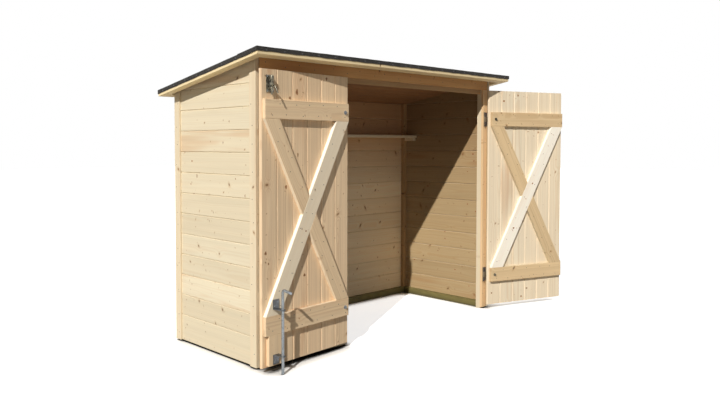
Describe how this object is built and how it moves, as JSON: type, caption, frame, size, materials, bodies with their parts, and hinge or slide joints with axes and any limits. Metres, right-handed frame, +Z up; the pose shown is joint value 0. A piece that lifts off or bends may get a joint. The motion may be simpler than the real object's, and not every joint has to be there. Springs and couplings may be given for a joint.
{
  "type": "timber bike shelter",
  "caption": "Low timber bike shelter with a felted pent roof, board walls, an inside shelf and open braced plank doors with a drop bolt.",
  "frame": {"origin": "on the ground under the middle of the back sill", "axes": "+X to the right along the front as seen from in front, +Y towards the back, +Z up"},
  "size_m": [2.7638, 1.1113, 1.6585],
  "materials": {
    "wall_wood": "planed, untreated",
    "door_wood": "planed, untreated",
    "treated_wood": "pressure treated",
    "roof_felt": "mineral felt",
    "galvanised_steel": "galvanised",
    "hinge_iron": "dark lacquer"
  },
  "bodies": {
    "shelter": {"back_base_sill": "treated_wood", "back_corner_battens": "wall_wood", "back_wall": "wall_wood", "door_stop": "wall_wood", "front_base_sill": "treated_wood", "front_panel": "wall_wood", "header_beam": "wall_wood", "header_board": "wall_wood", "jamb_post": "wall_wood", "left_base_sill": "treated_wood", "left_front_post": "wall_wood", "left_hinge_plates": "hinge_iron", "left_wall": "wall_wood", "left_wall_trims": "wall_wood", "right_base_sill": "treated_wood", "right_front_post": "wall_wood", "right_hinge_plates": "hinge_iron", "right_post_board": "wall_wood", "right_wall": "wall_wood", "right_wall_trims": "wall_wood", "roof_back_edge": "wall_wood", "roof_deck": "wall_wood", "roof_front_edge": "wall_wood", "roof_left_edge": "wall_wood", "roof_right_edge": "wall_wood", "roofing_felt": "roof_felt", "shelf": "wall_wood", "shelf_cleats": "wall_wood"},
    "left_door": {"left_door_boards": "door_wood", "left_door_half_braces": "door_wood", "left_door_ledges": "door_wood", "left_door_long_brace": "door_wood", "left_door_straps": "hinge_iron", "drop_bolt_packer": "door_wood", "drop_bolt_brackets": "galvanised_steel", "top_bolt_plate": "hinge_iron"},
    "right_door": {"right_door_boards": "door_wood", "right_door_half_braces": "door_wood", "right_door_ledges": "door_wood", "right_door_long_brace": "door_wood", "right_door_straps": "hinge_iron"},
    "drop_bolt": {"drop_bolt": "galvanised_steel"},
    "top_bolt": {"top_bolt": "hinge_iron"}
  },
  "joints": [
    {"name": "left_door_hinge", "type": "hinge", "parent": "shelter", "child": "left_door", "pos_m": [-0.395, -0.763, 0.8], "axis": [0, 0, 1], "range_deg": [-2.5, 175.5]},
    {"name": "right_door_hinge", "type": "hinge", "parent": "shelter", "child": "right_door", "pos_m": [0.987, -0.763, 0.8], "axis": [0, 0, -1], "range_deg": [-16, 162]},
    {"name": "drop_bolt_slide", "type": "slide", "parent": "left_door", "child": "drop_bolt", "axis": [0, 0, 1], "range_m": [0, 0.085]},
    {"name": "top_bolt_slide", "type": "slide", "parent": "left_door", "child": "top_bolt", "axis": [0, 0, 1], "range_m": [0, 0.022]}
  ]
}
